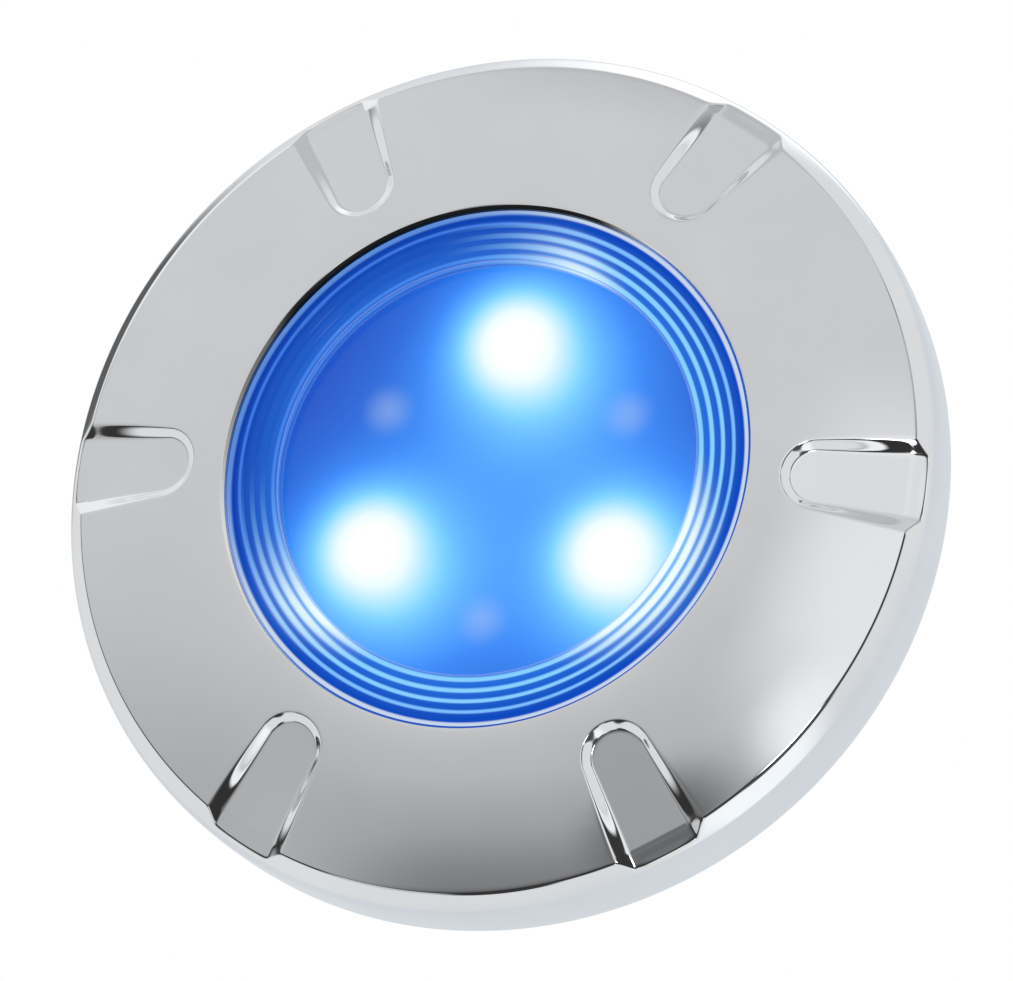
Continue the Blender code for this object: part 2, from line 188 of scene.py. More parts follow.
def half_row(walls):
    """One side of a row along the grip's outline: from under the ring, over the rim, to the round end."""
    radius = RECESS_ROUND_R - walls * RECESS_WALL
    start = RECESS_ROUND_AT - radius * math.sin(RECESS_SPREAD)

    def at(along):
        u, v = side_point(walls, along)
        return math.hypot(u, v), recess_height(u, v, walls)

    end = rim_meeting(at)
    u, v = side_point(walls, end)
    rho, angle, height = polar(u, v, recess_height(u, v, walls))
    inner_end = end - EDGE_ROUND
    u, v = side_point(walls, inner_end)
    inside = polar(u, v, recess_height(u, v, walls))
    places = rim_profile(rho, angle)[::-1] + rounded_meeting(inside, rho, angle, height)[::-1] + [inside]
    for i in range(1, SIDE_STEPS + 1):
        along = inner_end + (start - inner_end) * i / SIDE_STEPS
        u, v = side_point(walls, along)
        places.append(polar(u, v, recess_height(u, v, walls)))
    return places


def outline_row(walls):
    """A whole row round the grip, inset by some wall widths: one side, the round end, the other side."""
    radius = RECESS_ROUND_R - walls * RECESS_WALL
    side = half_row(walls)
    first = math.pi / 2 + RECESS_SPREAD
    arc = []
    for i in range(1, ARC_STEPS):
        turn = first + (2 * math.pi - 2 * first) * i / ARC_STEPS
        u, v = RECESS_ROUND_AT + radius * math.cos(turn), radius * math.sin(turn)
        arc.append(polar(u, v, recess_height(u, v, walls)))
    return side + arc + mirrored(side)


def mirrored(places):
    """The same places on the other side of the grip, in the reverse order."""
    return [(rho, -angle, height) for rho, angle, height in reversed(places)]


def side_length(row):
    """How many places of a row lie on one side of the grip, rim and underside included."""
    return (len(row) - (ARC_STEPS - 1)) // 2


def shrunk_row(row, share):
    """A row on the grip's floor, drawn in from the floor's outline towards the grip's centre line."""
    rim_count = side_length(row) - SIDE_STEPS
    places = []
    for index, (rho, angle, height) in enumerate(row):
        from_rim = min(index, len(row) - 1 - index)
        if from_rim < rim_count:
            places.append((rho, angle * (1 - share), height))
            continue
        u, v = rho * math.cos(angle), rho * math.sin(angle)
        if u < RECESS_ROUND_AT:
            u += (RECESS_ROUND_AT - u) * share
        v *= 1 - share
        places.append(polar(u, v, recess_height(u, v, ON_FLOOR)))
    return places


def sector_row(row, share):
    """A row on the plain face, between the grip's surround and the edge of its sixth of the ring."""
    half_sector = math.pi / RECESSES
    side_count = side_length(row)
    rim_count = side_count - SIDE_STEPS
    places = []
    for index, (rho, angle, height) in enumerate(row):
        sign = 1 if index < len(row) / 2 else -1
        from_rim = min(index, len(row) - 1 - index)
        if from_rim < rim_count:
            places.append((rho, angle + (sign * half_sector - angle) * share, height))
            continue
        if from_rim < side_count:
            down = (from_rim - rim_count + 1) / SIDE_STEPS
            goal_rho = 1 - EDGE_ROUND + (HOLE_R - 1 + EDGE_ROUND) * down
            goal_angle = sign * half_sector
        else:
            goal_rho = HOLE_R
            goal_angle = half_sector * (1 - 2 * (index - side_count + 1) / ARC_STEPS)
        new_rho = rho + (goal_rho - rho) * share
        places.append((new_rho, angle + (goal_angle - angle) * share, face_height(new_rho)))
    return places


# Where the rows of points of one sixth of the ring lie.
FLOOR_SHARES = (1.0, 0.8, 0.6, 0.4, 0.25, 0.12)  # on the grip's floor, from its centre line outwards
WALL_ROWS = (  # on the grip's wall, in wall widths inside the outline: 1 at its foot, 0 at its top
    1.5, 1.35, 1.22, 1.14, 1.07, 1.0, 0.93, 0.85, 0.7, 0.5, 0.3, 0.15, 0.07, 0.0,
    -0.07, -0.14, -0.22, -0.35, -0.5,
)
SECTOR_ROWS = 22  # on the face round the grip
SECTOR_POWER = 1.25  # over 1, the rows lie closer together near the grip


def ring_rows():
    """All rows of one sixth of the ring, from the grip's centre line out to the sixth's edges."""
    floor = outline_row(WALL_ROWS[0])
    rows = [shrunk_row(floor, share) for share in FLOOR_SHARES]
    rows += [outline_row(walls) for walls in WALL_ROWS]
    surround = rows[-1]
    for i in range(1, SECTOR_ROWS + 1):
        rows.append(sector_row(surround, (i / SECTOR_ROWS) ** SECTOR_POWER))
    return rows


def around_axis(radius, height, angle):
    """A point in the frame from its distance from the axis, its height over the wall and its angle."""
    return (radius * math.cos(angle), -height, radius * math.sin(angle))


def to_frame(rho, angle, height):
    """A place in ring units as a point in the frame."""
    return around_axis(rho * FACE_R, EDGE_H + height * FACE_R, angle)


# Radii and heights in millimetres, then arc and place of the first in degrees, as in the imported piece.
RING_LUGS = ((46.7, 49.7), (3.8, 5.6), 26.0, 30.0)
ADAPTER_LUGS = ((18.2, 20.9), (-2.6, -0.2), 34.0, 90.0)
LUGS = 3

# Faces that meet at more than this keep a hard edge.
SHARP_DEGREES = 30
RING_SHARP_DEGREES = 25


def make_face_ring():
    """The visible face ring: six sixths, each a grip and the face round it, the hole's wall, the lugs."""
    bm = bmesh.new()
    rows = ring_rows()
    columns = len(rows[0])
    side_count = side_length(rows[0])
    for sixth in range(RECESSES):
        turn = 2 * math.pi * sixth / RECESSES
        grid = [[bm.verts.new(to_frame(r, a + turn, h)) for r, a, h in row] for row in rows]
        for near, far in zip(grid, grid[1:]):
            for i in range(columns - 1):
                bm.faces.new((near[i], near[i + 1], far[i + 1], far[i]))
        crest = rows[-1][side_count - 1:columns - side_count + 1]
        above = grid[-1][side_count - 1:columns - side_count + 1]
        for rho, height in HOLE_WALL:
            below = [bm.verts.new(to_frame(rho, a + turn, height)) for _, a, _ in crest]
            for i in range(len(crest) - 1):
                bm.faces.new((above[i], above[i + 1], below[i + 1], below[i]))
            above = below
    bmesh.ops.remove_doubles(bm, verts=bm.verts, dist=1e-6)
    bmesh.ops.dissolve_degenerate(bm, edges=bm.edges, dist=1e-7)
    open_edges = [e for e in bm.edges if len(e.link_faces) == 1]
    bmesh.ops.bridge_loops(bm, edges=open_edges)
    add_lugs(bm, *RING_LUGS)
    bm.normal_update()
    bmesh.ops.recalc_face_normals(bm, faces=bm.faces)
    return finish_mesh("face_ring_skin", bm, chrome_material(), RING_SHARP_DEGREES)


def finish_mesh(name, bm, material, sharp_degrees=SHARP_DEGREES):
    """Turns a bmesh into a smooth-shaded object with one material."""
    mesh = bpy.data.meshes.new(name)
    bm.to_mesh(mesh)
    bm.free()
    mesh.shade_smooth()
    mesh.set_sharp_from_angle(angle=math.radians(sharp_degrees))
    mesh.materials.append(material)
    obj = bpy.data.objects.new(name, mesh)
    bpy.context.scene.collection.objects.link(obj)
    return obj


def add_lugs(bm, radii, heights, arc, start, steps=24):
    """Adds curved bayonet lugs, evenly spaced round the axis, between two radii and two heights."""
    low, high = heights
    corners = [(radii[0], low), (radii[1], low), (radii[1], high), (radii[0], high)]
    for lug in range(LUGS):
        rows = []
        for i in range(steps + 1):
            turn = math.radians(start + 360 / LUGS * lug - arc / 2 + arc * i / steps)
            rows.append([bm.verts.new(around_axis(r * MM, h * MM, turn)) for r, h in corners])
        for near, far in zip(rows, rows[1:]):
            for k in range(4):
                bm.faces.new((near[k], near[(k + 1) % 4], far[(k + 1) % 4], far[k]))
        bm.faces.new(rows[0])
        bm.faces.new(rows[-1])


# The wall adapter, in millimetres.

THREAD_PITCH = 2.309
THREAD_DEPTH = 1.45
THREAD_CREST_R = 23.9
THREAD_ROOT_R = THREAD_CREST_R - THREAD_DEPTH
THREAD_RUNOUT = 1.2  # length over which the teeth fade at each end
THREAD_MARGINS = (0.6, 0.3)  # plain lengths beyond the thread, at the tube's end and at the flange
TOOTH_SIZE, TOOTH_STEEPNESS = 1.35, 1.6875  # over 1, a tooth is cut off flat at its crest and root
THREAD_SEGMENTS = 96
THREAD_STEPS = 8  # rows of points in one pitch
ADAPTER_BORE_R = 20.6
END_BEVEL, FLANGE_BEVEL, SMALL_BEVEL = 0.4, 0.5, 0.3


def thread_radius(height, turn, ends):
    """Radius of the thread's surface: flat-topped teeth that fade in and out at the ends."""
    phase = (height / THREAD_PITCH + turn) % 1.0
    tooth = min(1.0, max(0.0, TOOTH_SIZE - TOOTH_STEEPNESS * abs(2 * phase - 1)))
    fade = min(1.0, (height - ends[0]) / THREAD_RUNOUT, (ends[1] - height) / THREAD_RUNOUT)
    return THREAD_CREST_R - THREAD_DEPTH * (1 - tooth * max(fade, 0.0))


def adapter_rows():
    """The adapter's section as rows of (radius, height), one pair for each step round the axis."""
    low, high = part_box("wall_adapter")
    flange_r, top, end = high.x / MM, -low.y / MM, -high.y / MM
    tube = [(ADAPTER_BORE_R, end), (THREAD_ROOT_R - END_BEVEL, end), (THREAD_ROOT_R, end + END_BEVEL)]
    rows = [[place] * THREAD_SEGMENTS for place in tube]
    ends = (end + THREAD_MARGINS[0], -THREAD_MARGINS[1])
    count = int((ends[1] - ends[0]) / THREAD_PITCH * THREAD_STEPS)
    turns = [k / THREAD_SEGMENTS for k in range(THREAD_SEGMENTS)]
    for i in range(count + 1):
        height = ends[0] + (ends[1] - ends[0]) * i / count
        rows.append([(thread_radius(height, turn, ends), height) for turn in turns])
    flange = [(THREAD_ROOT_R, 0.0), (flange_r - SMALL_BEVEL, 0.0), (flange_r, SMALL_BEVEL)]
    flange += [(flange_r, top - FLANGE_BEVEL), (flange_r - FLANGE_BEVEL, top)]
    flange += [(ADAPTER_BORE_R + SMALL_BEVEL, top), (ADAPTER_BORE_R, top - SMALL_BEVEL)]
    rows += [[place] * THREAD_SEGMENTS for place in flange]
    return rows


def make_wall_adapter(material):
    """The adapter with its real thread, bore, flange and bayonet lugs."""
    bm = bmesh.new()
    loops = []
    for row in adapter_rows():
        loop = []
        for k, (radius, height) in enumerate(row):
            turn = 2 * math.pi * k / THREAD_SEGMENTS
            loop.append(bm.verts.new(around_axis(radius * MM, height * MM, turn)))
        loops.append(loop)
    for near, far in zip(loops, loops[1:] + loops[:1]):
        for k in range(THREAD_SEGMENTS):
            j = (k + 1) % THREAD_SEGMENTS
            bm.faces.new((near[k], near[j], far[j], far[k]))
    add_lugs(bm, *ADAPTER_LUGS)
    bm.normal_update()
    bmesh.ops.recalc_face_normals(bm, faces=bm.faces)
    return finish_mesh("wall_adapter_skin", bm, material)


# The lens. Its rings are in the ring's own unit, its body in millimetres.

RIDGES = (0.5208, 0.5453, 0.5699, 0.5947)
RIDGE_PITCH = 0.0246
RIDGE_RISE = 0.0052
RIDGE_STEPS = 16  # steps across one ridge
RIDGE_GAP = 0.004  # flat between the ridges and what lies beside them
LENS_CENTRE_R = 0.503
LENS_EDGE_R = 0.6235
LENS_EDGE_ROUND = 0.003
LENS_FLANGE_TOP = 12.5 * MM
LENS_BACK = 13.2 * MM  # height of the hollow's floor over the wall
LENS_HOLLOW_R = 37.5 * MM


def lens_profile():
    """The lens's section: flat centre, four rounded ridges, rounded edge, flange and hollow back."""
    low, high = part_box("lens")
    top, flange_r, foot = -low.y, high.x, -high.y
    groove = top - RIDGE_RISE * FACE_R
    places = [(0.0, top), (0.3 * FACE_R, top), ((LENS_CENTRE_R - RIDGE_GAP) * FACE_R, top)]
    places += [(LENS_CENTRE_R * FACE_R, top - SMALL_STEP * FACE_R)]
    first = RIDGES[0] - RIDGE_PITCH / 2
    last = RIDGES[-1] + RIDGE_PITCH / 2
    steps = RIDGE_STEPS * len(RIDGES)
    for i in range(steps + 1):
        rho = first + (last - first) * i / steps
        rise = abs(math.cos(math.pi * (rho - RIDGES[0]) / RIDGE_PITCH))
        places.append((rho * FACE_R, groove + RIDGE_RISE * FACE_R * rise))
    places += [((last + RIDGE_GAP) * FACE_R, top), ((LENS_EDGE_R - LENS_EDGE_ROUND) * FACE_R, top)]
    places += [(LENS_EDGE_R * FACE_R, top - LENS_EDGE_ROUND * FACE_R)]
    places += [(LENS_EDGE_R * FACE_R, LENS_FLANGE_TOP), (flange_r, LENS_FLANGE_TOP), (flange_r, foot)]
    places += [(LENS_HOLLOW_R, foot), (LENS_HOLLOW_R, LENS_BACK), (0.0, LENS_BACK)]
    return places


def make_lens(segments=192):
    """The lens, turned from its section, which begins and ends on the axis."""
    bm = bmesh.new()
    loops = []
    for radius, height in lens_profile():
        turns = [2 * math.pi * i / segments for i in range(segments)] if radius else [0.0]
        loops.append([bm.verts.new(around_axis(radius, height, turn)) for turn in turns])
    for lower, upper in zip(loops, loops[1:]):
        for i in range(segments):
            j = (i + 1) % segments
            corners = [lower[i % len(lower)], lower[j % len(lower)]]
            corners += [upper[j % len(upper)], upper[i % len(upper)]]
            bm.faces.new(list(dict.fromkeys(corners)))
    bm.normal_update()
    bmesh.ops.recalc_face_normals(bm, faces=bm.faces)
    return finish_mesh("lens_skin", bm, lens_material())


# Materials.

class Nodes:
    """A short way to wire up a material's nodes."""

    def __init__(self, name):
        self.material = bpy.data.materials.new(name)
        self.material.use_nodes = True
        self.tree = self.material.node_tree
        self.shader = self.tree.nodes["Principled BSDF"]

    def add(self, kind, **settings):
        """A new node with some of its settings."""
        node = self.tree.nodes.new(kind)
        for key, value in settings.items():
            setattr(node, key, value)
        return node

    def link(self, source, target):
        """Joins an output to an input."""
        self.tree.links.new(source, target)

    def set(self, **values):
        """Sets plain values on the shader. A key is the socket's name with _ for each space."""
        for key, value in values.items():
            self.shader.inputs[key.replace("_", " ")].default_value = value

    def math(self, operation, *inputs):
        """The result of an operation on inputs that are sockets or numbers."""
        node = self.add("ShaderNodeMath", operation=operation)
        for socket, value in zip(node.inputs, inputs):
            if isinstance(value, (int, float)):
                socket.default_value = value
            else:
                self.link(value, socket)
        return node.outputs[0]

    def place(self):
        """The place on the piece, in metres."""
        return self.add("ShaderNodeTexCoord").outputs["Object"]

    def flattened(self, unit=FACE_R):
        """The place seen along the light's axis, in ring units or another unit."""
        node = self.add("ShaderNodeVectorMath", operation="MULTIPLY")
        self.link(self.place(), node.inputs[0])
        node.inputs[1].default_value = (1 / unit, 0.0, 1 / unit)
        return node.outputs["Vector"]

    def rho(self, flat):
        """Distance from the light's axis, in the unit of the flattened place."""
        node = self.add("ShaderNodeVectorMath", operation="LENGTH")
        self.link(flat, node.inputs[0])
        return node.outputs["Value"]

    def noise(self, scale, detail=3.0):
        """Soft noise from 0 to 1. The scale is in patches per metre."""
        node = self.add("ShaderNodeTexNoise")
        node.inputs["Scale"].default_value = scale
        node.inputs["Detail"].default_value = detail
        self.link(self.place(), node.inputs["Vector"])
        return node.outputs["Fac"]

    def spread(self, value, low, high, to_low=0.0, to_high=1.0):
        """Carries a value from one range over to another, held at its ends."""
        node = self.add("ShaderNodeMapRange")
        self.link(value, node.inputs["Value"])
        for key, number in (("From Min", low), ("From Max", high), ("To Min", to_low), ("To Max", to_high)):
            node.inputs[key].default_value = number
        return node.outputs["Result"]

    def smooth(self, value, start, end):
        """0 at start, 1 at end, smooth between."""
        node = self.add("ShaderNodeMapRange", interpolation_type="SMOOTHSTEP")
        self.link(value, node.inputs["Value"])
        node.inputs["From Min"].default_value = start
        node.inputs["From Max"].default_value = end
        return node.outputs["Result"]

    def mix(self, share, first, second):
        """Blends two colours, each a socket or a plain colour."""
        node = self.add("ShaderNodeMix", data_type="RGBA")
        self.link(share, node.inputs["Factor"])
        for socket, colour in ((node.inputs["A"], first), (node.inputs["B"], second)):
            if isinstance(colour, tuple):
                socket.default_value = (*colour, 1.0)
            else:
                self.link(colour, socket)
        return node.outputs["Result"]

    def ramp(self, value, stops):
        """A colour for a value, blended between stops of (value, colour)."""
        node = self.add("ShaderNodeValToRGB")
        ramp = node.color_ramp
        while len(ramp.elements) < len(stops):
            ramp.elements.new(0.5)
        for element, (position, colour) in zip(ramp.elements, stops):
            element.position = position
            element.color = (*colour, 1.0)
        self.link(value, node.inputs["Fac"])
        return node.outputs["Color"]

    def bump(self, height, strength, distance, normal=None):
        """Gives the shader a relief."""
        node = self.add("ShaderNodeBump")
        if normal:
            self.link(normal, node.inputs["Normal"])
        node.inputs["Strength"].default_value = strength
        node.inputs["Distance"].default_value = distance
        self.link(height, node.inputs["Height"])
        self.link(node.outputs["Normal"], self.shader.inputs["Normal"])


def grey(level):
    """A plain grey colour."""
    return (level, level, level)


# Painted shade on the wall of the ring's hole, standing in for reflections of the lens and of the dark room
# inside. It falls from the hole's side to its top, and is pale again at the right.
HOLE_PALE = 0.87
HOLE_SHADES = ((0.0, HOLE_PALE), (0.30, 0.50), (0.70, 0.26), (0.93, 0.18), (1.0, 0.015))
HOLE_SHADE_RISE = (-12.0 * MM, 24.0 * MM)  # z at the first shade and at the last
HOLE_PALE_SIDE = (12.0 * MM, 22.0 * MM)  # x where it starts to turn pale and where it is pale
HOLE_SHADE_EDGE = (0.6310, 0.6322)  # rho up to which the wall's painted shade holds and where the face's own colour begins


def chrome_material():
    """Polished chrome plate on a moulding: faint ripple, faint wipe marks, clear reflections, and a painted
    shade on the wall of the hole.
    """
    made = Nodes("chrome_plate")
    made.set(Metallic=1.0)
    tint = made.ramp(made.noise(60.0, 4.0), [(0.35, (0.86, 0.87, 0.885)), (0.65, (0.89, 0.90, 0.91))])
    split = made.add("ShaderNodeSeparateXYZ")
    made.link(made.place(), split.inputs["Vector"])
    # painted shade on the hole's wall: darker towards its top, pale again at the right
    shadow = made.smooth(split.outputs["Z"], *HOLE_SHADE_RISE)
    shadow = made.ramp(shadow, [(at, grey(shade)) for at, shade in HOLE_SHADES])
    shadow = made.mix(made.smooth(split.outputs["X"], *HOLE_PALE_SIDE), shadow, grey(HOLE_PALE))
    on_face = made.spread(made.rho(made.flattened()), *HOLE_SHADE_EDGE)
    made.link(made.mix(on_face, shadow, tint), made.shader.inputs["Base Color"])
    made.link(made.spread(made.noise(180.0, 5.0), 0.35, 0.7, 0.035, 0.075), made.shader.inputs["Roughness"])
    made.bump(made.noise(22.0, 1.0), 0.05, 0.0004)
    return made.material


RIDGE_SPAN = (0.490, 0.630)
RIDGE_EDGE = 0.004  # width over which a glowing band fades out
RIDGE_SIDE = 325.0  # own angle, in degrees, of the side where the painted glow in the ridges is brightest
GLOW_START = (0.4985, 0.5035)  # rho where the ridges' painted glow comes in, at the edge of the smooth centre
GLOW_END = (0.623, 0.6236)  # and where it goes out, at the lens's edge
LIT_BANDS = (  # (from, to, colour) of each band of painted glow on the side turned to the viewer, where it is painted brightest
    (0.507, 0.514, (0.24, 0.62, 1.0)), (0.533, 0.540, (0.25, 0.63, 1.0)),
    (0.559, 0.565, (0.25, 0.62, 1.0)), (0.585, 0.590, (0.20, 0.50, 0.95)),
    (0.616, 0.623, (0.56, 0.66, 0.80)),
)
LIT_GROUND = ((0.02, 0.17, 0.74), (0.0, 0.04, 0.42))  # colour between the bands, inside and outside
NEAR_BANDS = (  # the same, painted brighter, where a lit LED is close to the ridges
    (0.506, 0.518, (0.86, 0.98, 1.0)), (0.530, 0.544, (0.84, 0.97, 1.0)),
    (0.556, 0.569, (0.80, 0.96, 1.0)), (0.583, 0.595, (0.76, 0.93, 1.0)),
    (0.602, 0.604, (0.08, 0.40, 0.90)), (0.613, 0.623, (0.82, 0.90, 0.98)),
)
NEAR_GROUND = ((0.26, 0.58, 0.98), (0.04, 0.20, 0.74))
FAR_BANDS = (  # the same on the side turned away, where the painted glow is dimmest
    (0.511, 0.513, (0.06, 0.23, 0.80)), (0.591, 0.593, (0.05, 0.19, 0.76)),
    (0.613, 0.623, (0.10, 0.25, 0.66)),
)
FAR_GROUND = ((0.02, 0.14, 0.64), (0.0, 0.03, 0.34))
RIDGE_BASE = (0.001, 0.008, 0.04)  # what the ridges are under their painted glow
RIDGE_CLEARNESS = 0.08  # share of them that stays clear
LIT_SIDE = (-0.85, -0.25)  # cosine from the side painted brightest, where the lit bands come in and are full
NEAR_SIDE = (-0.7, -0.1)  # the same for the near bands
NEAR_REACH = 7.0  # millimetres over which a lit LED's painted light fades in the ridges
NEAR_LIGHT = (0.06, 0.16)  # light at which the near bands come in and are full
MAIN_LED_TURN = 90.0  # own angle of the first lit LED and of the first unlit one, in degrees
WHITE_LED_TURN = 30.0
LED_AT = 20.8  # their distance from the axis, in millimetres


def band_ramp(made, across, bands, ground):
    """Colour across the ridges: bands of painted glow on a ground that shades from the inside to the
    outside.
    """
    low, high = RIDGE_SPAN
    width = high - low
    inner, outer = ground
    stops = [(0.0, inner)]
    for start, end, colour in bands:
        for at in (start - RIDGE_EDGE, end + RIDGE_EDGE):
            share = (at - low) / width
            stops.append((share, tuple(a + (b - a) * share for a, b in zip(inner, outer))))
        stops += [((start - low) / width, colour), ((end - low) / width, colour)]
    return made.ramp(across, sorted(stops))


def painted_ridge_glow(made, flat, rho):
    """Colour of the painted glow in the ridges: by a fixed side of the lens, and brighter where a lit LED
    is close.
    """
    across = made.spread(rho, *RIDGE_SPAN)
    lit = band_ramp(made, across, LIT_BANDS, LIT_GROUND)
    far = band_ramp(made, across, FAR_BANDS, FAR_GROUND)
    side = made.add("ShaderNodeVectorMath", operation="DOT_PRODUCT")
    made.link(flat, side.inputs[0])
    turn = math.radians(RIDGE_SIDE)
    side.inputs[1].default_value = (math.cos(turn), 0.0, math.sin(turn))
    cosine = made.math("DIVIDE", side.outputs["Value"], made.math("MAXIMUM", rho, 0.01))
    light = 0.0
    for distance in led_distances(made, MAIN_LED_TURN):
        fade = made.math("EXPONENT", made.math("DIVIDE", distance, -NEAR_REACH))
        light = made.math("ADD", fade, light)
    near = made.math("MULTIPLY", made.smooth(light, *NEAR_LIGHT), made.smooth(cosine, *NEAR_SIDE))
    close = band_ramp(made, across, NEAR_BANDS, NEAR_GROUND)
    return made.mix(made.smooth(cosine, *LIT_SIDE), far, made.mix(near, lit, close))


def lens_material():
    """Clear polycarbonate; its moulded ridges carry a painted glow in rings, standing in for the LEDs'
    light through them, brightest on one fixed side.
    """
    made = Nodes("lens_polycarbonate")
    made.set(Metallic=0.0, IOR=1.35, Specular_IOR_Level=0.15)
    tint = made.ramp(made.noise(90.0, 3.0), [(0.3, (0.96, 0.98, 1.0)), (0.7, (0.98, 0.99, 1.0))])
    made.link(made.spread(made.noise(250.0, 4.0), 0.3, 0.7, 0.01, 0.03), made.shader.inputs["Roughness"])
    flat = made.flattened()
    rho = made.rho(flat)
    band = made.math("MULTIPLY", made.spread(rho, *GLOW_START), made.spread(rho, *GLOW_END, 1.0, 0.0))
    clear = made.spread(band, 0.0, 1.0, 1.0, RIDGE_CLEARNESS)
    # painted glow in the ridges, sent out as emission
    made.link(painted_ridge_glow(made, flat, rho), made.shader.inputs["Emission Color"])
    made.link(band, made.shader.inputs["Emission Strength"])
    made.link(clear, made.shader.inputs["Transmission Weight"])
    made.link(made.mix(band, tint, RIDGE_BASE), made.shader.inputs["Base Color"])
    return made.material


def led_distances(made, start_degrees, shift=(0.0, 0.0)):
    """Distances in millimetres from three LEDs on their circle, or from places beside them."""
    flat = made.flattened(MM)
    found = []
    for degrees in (start_degrees, start_degrees + 120, start_degrees + 240):
        turn = math.radians(degrees)
        gap = made.add("ShaderNodeVectorMath", operation="DISTANCE")
        made.link(flat, gap.inputs[0])
        x, z = LED_AT * math.cos(turn) + shift[0], LED_AT * math.sin(turn) + shift[1]
        gap.inputs[1].default_value = (x, 0.0, z)
        found.append(gap.outputs["Value"])
    return found


GLOW = (  # colour of the painted glow by the square root of how much painted light reaches a place
    (0.05, (0.0, 0.075, 0.55)), (0.075, (0.003, 0.13, 0.70)), (0.105, (0.022, 0.24, 0.92)),
    (0.13, (0.068, 0.37, 1.08)), (0.158, (0.13, 0.52, 1.1)), (0.18, (0.185, 0.645, 1.1)),
    (0.212, (0.35, 0.78, 1.1)), (0.25, (0.56, 0.875, 1.1)), (0.32, (0.87, 1.0, 1.08)),
    (0.45, (1.06, 1.08, 1.1)), (0.65, (1.5, 1.5, 1.5)),
)
LED_LIGHT = (  # (shift, reach, share) of a lit LED's painted light and of the painted halo round it, in millimetres
    ((0.0, 0.0), 2.2, 1.0), ((3.7, -4.1), 8.4, 0.07),  # the halo lies deep, so it is painted aside from the LED, as it shows from one view
)
SPOT_REACH = 4.8  # millimetres from an unlit LED where its painted pale spot ends
SPOT_SHARE = 0.37
SPOT_COLOUR = (0.40, 0.56, 0.82)


def painted_glow_material():
    """The opal disc with the LEDs' light painted on it as a glow: white over a lit LED, cyan round it, blue
    between, pale spots painted over the unlit LEDs.
    """
    made = Nodes("diffuser_glow")
    made.set(Roughness=0.5, Base_Color=(0.01, 0.02, 0.05, 1.0), Specular_IOR_Level=0.1)
    light = 0.0
    for shift, reach, share in LED_LIGHT:
        for distance in led_distances(made, MAIN_LED_TURN, shift):
            fade = made.math("EXPONENT", made.math("DIVIDE", distance, -reach))
            light = made.math("ADD", made.math("MULTIPLY", fade, share), light)
    cloud = made.spread(made.noise(70.0, 2.0), 0.3, 0.7, 0.92, 0.94)
    top = GLOW[-1][1][0]  # a ramp holds colours up to 1, so this much goes into the strength
    stops = [(at, tuple(c / top for c in colour)) for at, colour in GLOW]
    colour = made.ramp(made.math("MULTIPLY", made.math("SQRT", light), cloud), stops)
    spots = 0.0
    for distance in led_distances(made, WHITE_LED_TURN):
        spots = made.math("MAXIMUM", made.smooth(distance, SPOT_REACH, 0.0), spots)
    spots = made.math("MULTIPLY", spots, SPOT_SHARE)
    pale = made.mix(spots, colour, tuple(c / top for c in SPOT_COLOUR))
    # painted glow of the LEDs on the disc, sent out as emission
    made.link(pale, made.shader.inputs["Emission Color"])
    made.set(Emission_Strength=top)
    return made.material


def bevelled(made, radius=0.25 * MM):
    """The surface's direction with the piece's hard edges rounded, for its shading only."""
    node = made.add("ShaderNodeBevel")
    node.samples = 4
    node.inputs["Radius"].default_value = radius
    return node.outputs["Normal"]


def clouded(made, colour, shade, scale):
    """Gives the shader a colour that varies a little, down to a darker shade of it."""
    stops = [(0.3, tuple(c * shade for c in colour)), (0.7, colour)]
    made.link(made.ramp(made.noise(scale, 4.0), stops), made.shader.inputs["Base Color"])


def moulded_material(name, colour, grain=900.0, roughness=(0.38, 0.52)):
    """Moulded plastic: fine grain, slight colour variation."""
    made = Nodes(name)
    clouded(made, colour, 0.93, 40.0)
    made.link(made.spread(made.noise(300.0), 0.3, 0.7, *roughness), made.shader.inputs["Roughness"])
    made.bump(made.noise(grain, 2.0), 0.15, 0.0001, bevelled(made))
    return made.material


def metal_material(name, colour, roughness=(0.2, 0.35)):
    """Turned or rolled metal with a fine grain."""
    made = Nodes(name)
    made.set(Metallic=1.0)
    clouded(made, colour, 0.9, 120.0)
    made.link(made.spread(made.noise(500.0, 3.0), 0.3, 0.7, *roughness), made.shader.inputs["Roughness"])
    made.bump(made.noise(700.0, 2.0), 0.05, 0.0001, bevelled(made))
    return made.material


